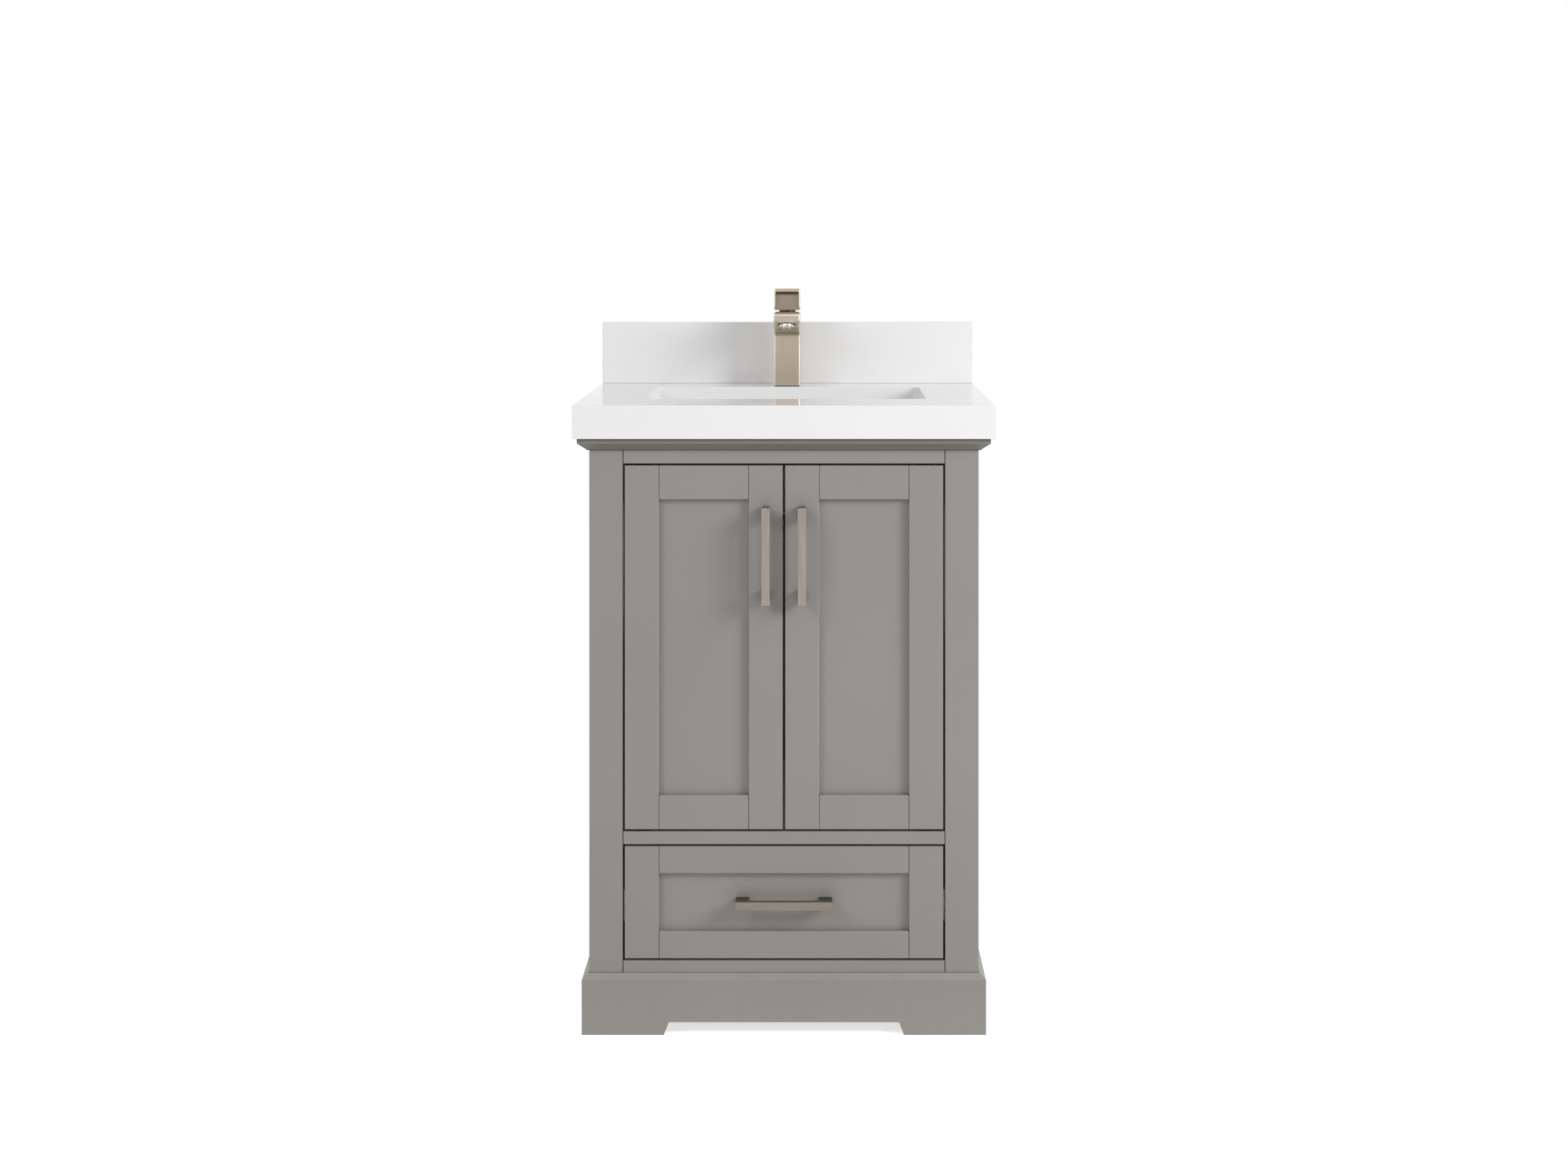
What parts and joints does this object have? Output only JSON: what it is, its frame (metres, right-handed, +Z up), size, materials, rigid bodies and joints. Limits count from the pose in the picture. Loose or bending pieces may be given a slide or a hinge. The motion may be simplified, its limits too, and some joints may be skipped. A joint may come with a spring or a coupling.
{
  "type": "bathroom vanity cabinet",
  "caption": "Face-frame bathroom vanity with two doors over a drawer, stone counter, undermount basin and single-lever tap.",
  "frame": {"origin": "on the floor, midway between the sides and between the door pulls and the wall face", "axes": "+X to the right seen from the front, +Y to the wall, +Z up; the doors face -Y"},
  "size_m": [0.61, 0.568, 1.0665],
  "materials": {
    "grey_paint": "satin paint over solid wood",
    "quartz": "polished white quartz",
    "vitreous_china": "white glaze",
    "brushed_nickel": "warm brushed nickel plate on brass",
    "pull_nickel": "warm brushed nickel",
    "polished_nickel": "polished nickel plate on brass",
    "zinc_steel": "zinc plate",
    "black_rubber": "matt",
    "catch_plastic": "moulded",
    "birch": "clear lacquer",
    "birch_plywood": "clear lacquer"
  },
  "bodies": {
    "cabinet": {"side_panel_left": "grey_paint", "side_panel_right": "grey_paint", "stile_left": "grey_paint", "stile_right": "grey_paint", "top_rail": "grey_paint", "middle_rail": "grey_paint", "bottom_rail": "grey_paint", "cabinet_floor": "birch_plywood", "drawer_deck": "birch_plywood", "back_panel": "birch_plywood", "wall_rail": "birch_plywood", "slide_cleats": "birch_plywood", "corner_blocks": "birch_plywood", "cornice_front": "grey_paint", "cornice_sides": "grey_paint", "plinth_front": "grey_paint", "plinth_sides": "grey_paint", "countertop": "quartz", "apron_front": "quartz", "apron_sides": "quartz", "backsplash": "quartz", "basin": "vitreous_china", "basin_clips": "zinc_steel", "drain_body": "polished_nickel", "drain_gasket": "black_rubber", "drain_locknut": "polished_nickel", "tailpiece": "polished_nickel", "tap_body": "brushed_nickel", "aerator": "polished_nickel", "tap_gasket": "black_rubber", "tap_locknut": "zinc_steel", "slide_outer_members": "zinc_steel", "pivot_brackets": "zinc_steel", "door_catches": "catch_plastic"},
    "left_door": {"left_door_stiles": "grey_paint", "left_door_rails": "grey_paint", "left_door_panel": "grey_paint", "left_door_pivots": "zinc_steel", "left_door_strike": "zinc_steel", "left_door_pull": "pull_nickel"},
    "right_door": {"right_door_stiles": "grey_paint", "right_door_rails": "grey_paint", "right_door_panel": "grey_paint", "right_door_pivots": "zinc_steel", "right_door_strike": "zinc_steel", "right_door_pull": "pull_nickel"},
    "drawer": {"drawer_front_stiles": "grey_paint", "drawer_front_rails": "grey_paint", "drawer_front_panel": "grey_paint", "drawer_sides": "birch", "drawer_box_front": "birch", "drawer_box_back": "birch", "drawer_bottom": "birch_plywood", "drawer_pull": "pull_nickel", "slide_inner_members": "zinc_steel"},
    "slide_middle": {"slide_middle_members": "zinc_steel"},
    "tap_stem": {"tap_stem": "zinc_steel"},
    "tap_handle": {"tap_handle": "brushed_nickel"},
    "drain_stopper": {"drain_stopper": "polished_nickel"}
  },
  "joints": [
    {"name": "left_door_hinge", "type": "hinge", "parent": "cabinet", "child": "left_door", "pos_m": [-0.2188, -0.245, 0.5582], "axis": [0, 0, -1], "range_deg": [0, 105]},
    {"name": "right_door_hinge", "type": "hinge", "parent": "cabinet", "child": "right_door", "pos_m": [0.2188, -0.245, 0.5582], "axis": [0, 0, 1], "range_deg": [0, 105]},
    {"name": "drawer_slide", "type": "slide", "parent": "cabinet", "child": "drawer", "axis": [0, -1, 0], "range_m": [0, 0.4]},
    {"name": "slide_middle", "type": "slide", "parent": "cabinet", "child": "slide_middle", "axis": [0, -1, 0], "range_m": [0, 0.2]},
    {"name": "tap_swivel", "type": "hinge", "parent": "cabinet", "child": "tap_stem", "pos_m": [0, 0.211, 1.028], "axis": [0, 0, 1], "range_deg": [-45, 45]},
    {"name": "tap_lift", "type": "hinge", "parent": "tap_stem", "child": "tap_handle", "pos_m": [0, 0.223, 1.043], "axis": [-1, 0, 0], "range_deg": [0, 25]},
    {"name": "stopper_lift", "type": "slide", "parent": "cabinet", "child": "drain_stopper", "axis": [0, 0, 1], "range_m": [0, 0.008]}
  ],
  "couplings": [
    {"joint": "slide_middle", "follows": "drawer_slide", "ratio": 0.5}
  ]
}
